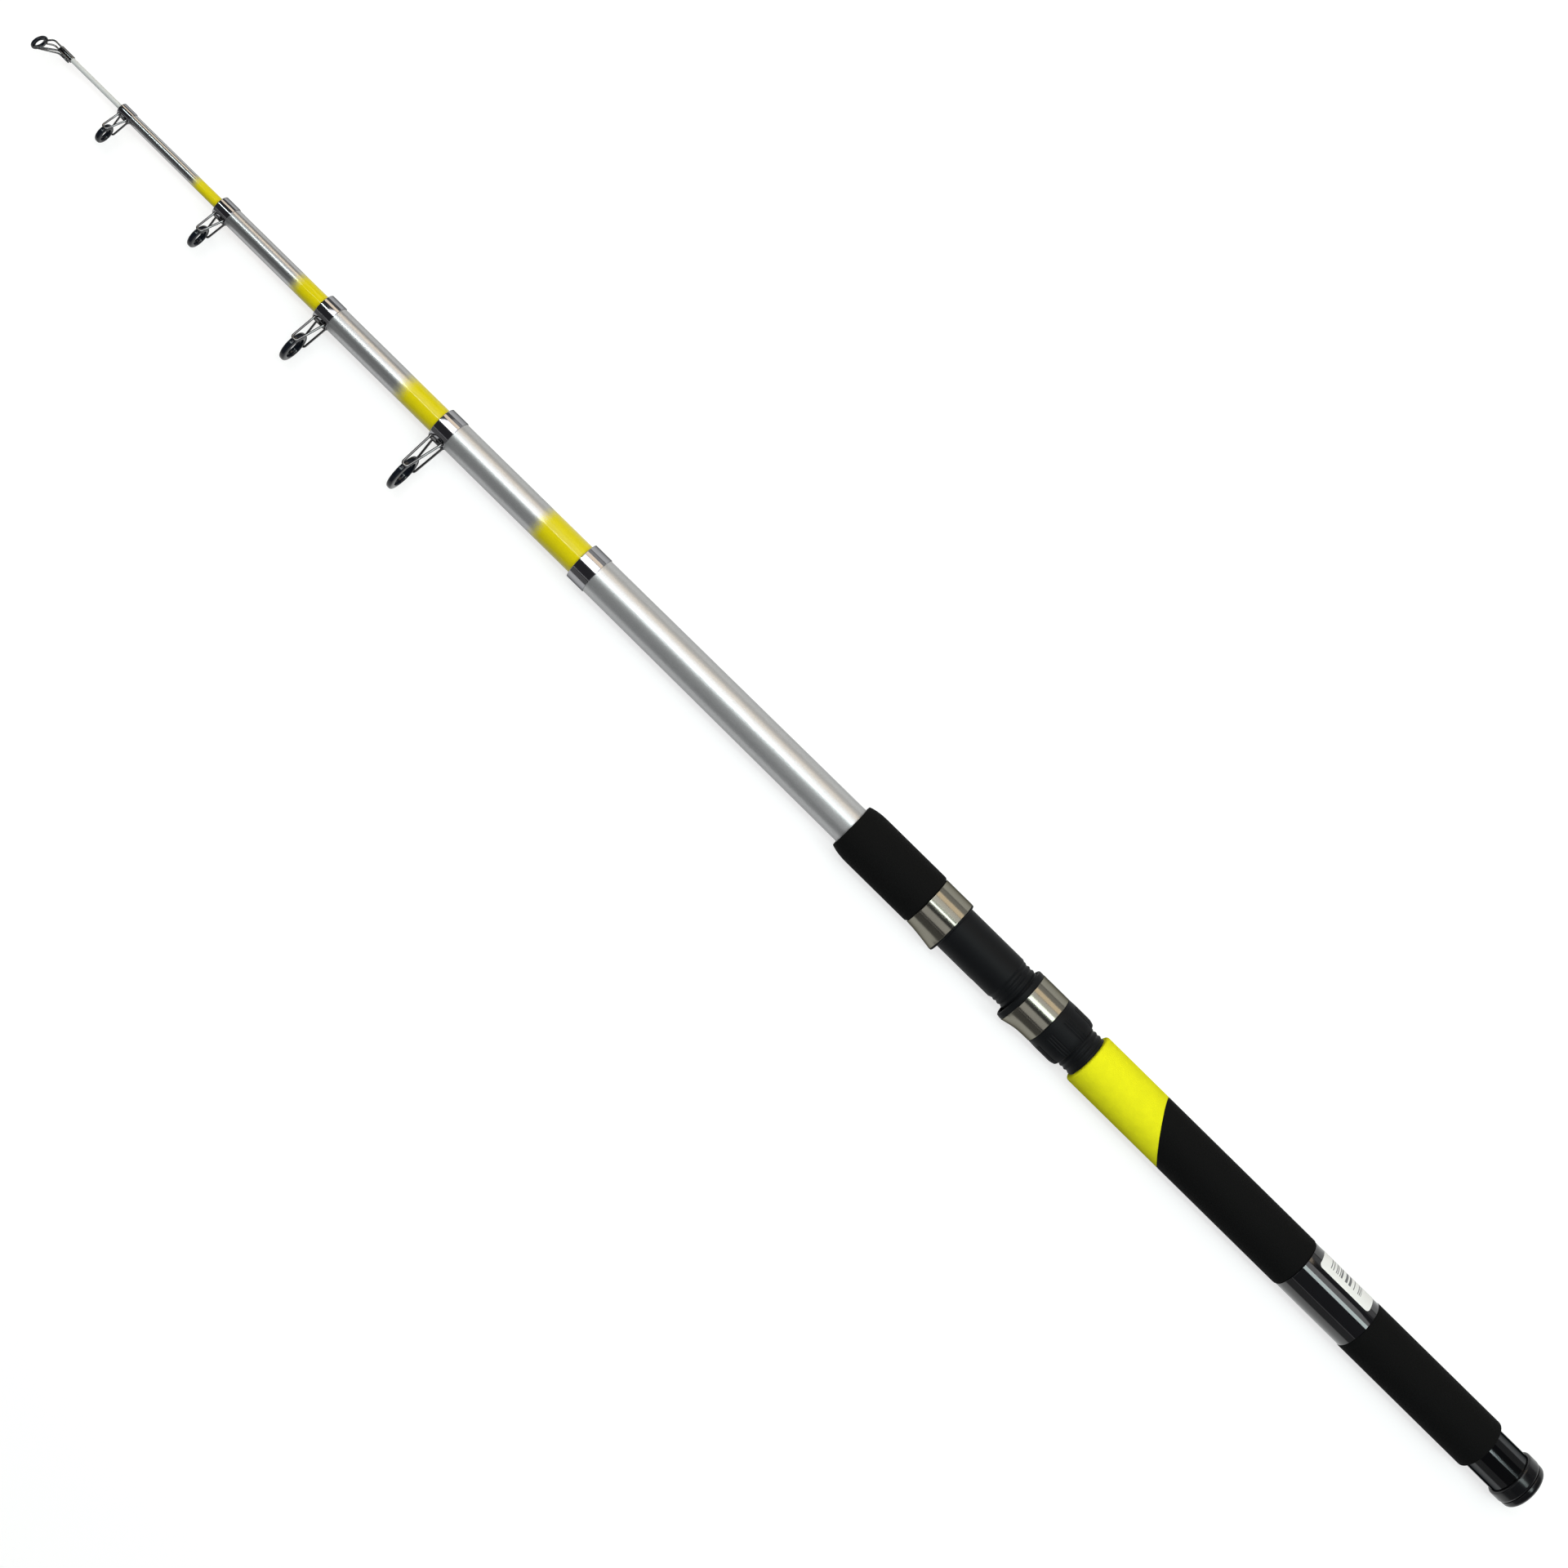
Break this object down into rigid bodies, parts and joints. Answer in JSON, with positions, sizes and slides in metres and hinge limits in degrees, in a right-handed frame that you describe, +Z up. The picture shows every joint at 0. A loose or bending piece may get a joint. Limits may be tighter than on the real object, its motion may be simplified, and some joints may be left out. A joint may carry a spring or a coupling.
{
  "type": "telescopic fishing rod",
  "caption": "Telescopic fishing rod: tapered tubes that slide into one another, ring line guides on chrome collars, a screw-down reel seat and foam grips.",
  "frame": {"origin": "on the rod axis at the middle of the open reel saddle", "axes": "+X along the rod toward the tip, +Y toward the line guides, +Z up"},
  "size_m": [1.131, 0.0617, 0.0324],
  "materials": {
    "butt_paint": "silver metallic lacquer on the wound glass-fibre tube, black lacquer on its butt end",
    "section_paint": "silver metallic lacquer with a sprayed yellow band that fades in behind each collar",
    "tip_glass": "clear-coated solid glass fibre, pale grey",
    "chrome": "bright chrome plate",
    "guide_ring": "polished black ceramic",
    "seat_plastic": "satin black moulded plastic",
    "hood_steel": "drawn stainless steel, lightly polished",
    "black_foam": "ground closed-cell foam, matte",
    "yellow_foam": "ground closed-cell foam, matte yellow",
    "black_gloss": "glossy black",
    "label_film": "white self-adhesive film with plain grey bars",
    "pad_rubber": "soft rubber disc"
  },
  "bodies": {
    "butt": {"butt_blank": "butt_paint", "butt_collar": "chrome", "fore_grip": "black_foam", "seat_barrel": "seat_plastic", "fixed_hood_shell": "hood_steel", "fixed_hood_liner": "seat_plastic", "rear_grip_yellow": "yellow_foam", "rear_grip_black": "black_foam", "hard_sleeve": "black_gloss", "lower_grip": "black_foam", "butt_insert": "black_gloss"},
    "sliding_hood": {"sliding_hood_shell": "hood_steel", "sliding_hood_liner": "seat_plastic"},
    "lock_nut": {"lock_nut": "seat_plastic"},
    "cap_pad": {"cap_pad": "pad_rubber"},
    "butt_cap": {"butt_cap": "black_gloss"},
    "section_2": {"section_2_blank": "section_paint", "section_2_collar": "chrome", "guide_2_frame": "chrome", "guide_2_ring": "guide_ring"},
    "section_3": {"section_3_blank": "section_paint", "section_3_collar": "chrome", "guide_3_frame": "chrome", "guide_3_ring": "guide_ring"},
    "section_4": {"section_4_blank": "section_paint", "section_4_collar": "chrome", "guide_4_frame": "chrome", "guide_4_ring": "guide_ring"},
    "section_5": {"section_5_blank": "section_paint", "section_5_collar": "chrome", "guide_5_frame": "chrome", "guide_5_ring": "guide_ring"},
    "tip": {"tip_blank": "tip_glass", "tip_ferrule": "chrome", "tip_frame": "chrome", "tip_ring": "guide_ring"}
  },
  "joints": [
    {"name": "section_2_slide", "type": "slide", "parent": "butt", "child": "section_2", "axis": [1, 0, 0], "range_m": [-0.0955, 0.517]},
    {"name": "section_3_slide", "type": "slide", "parent": "section_2", "child": "section_3", "axis": [1, 0, 0], "range_m": [-0.0796, 0.545]},
    {"name": "section_4_slide", "type": "slide", "parent": "section_3", "child": "section_4", "axis": [1, 0, 0], "range_m": [-0.0686, 0.566]},
    {"name": "section_5_slide", "type": "slide", "parent": "section_4", "child": "section_5", "axis": [1, 0, 0], "range_m": [-0.0662, 0.579]},
    {"name": "tip_slide", "type": "slide", "parent": "section_5", "child": "tip", "axis": [1, 0, 0], "range_m": [-0.037, 0.617]},
    {"name": "hood_slide", "type": "slide", "parent": "butt", "child": "sliding_hood", "axis": [1, 0, 0], "range_m": [-0.0096, 0.03]},
    {"name": "nut_spin", "type": "hinge", "parent": "sliding_hood", "child": "lock_nut", "pos_m": [0, 0, 0], "axis": [1, 0, 0], "range_deg": [-1152.5, 3600.5]},
    {"name": "cap_slide", "type": "slide", "parent": "butt", "child": "cap_pad", "axis": [1, 0, 0], "range_m": [-0.009, 0]},
    {"name": "cap_spin", "type": "hinge", "parent": "cap_pad", "child": "butt_cap", "pos_m": [0, 0, 0], "axis": [1, 0, 0], "range_deg": [-1620.5, 0.5]}
  ],
  "couplings": [
    {"joint": "nut_spin", "follows": "hood_slide", "rad_per_m": 2094.4},
    {"joint": "cap_spin", "follows": "cap_slide", "rad_per_m": 3141.6}
  ]
}
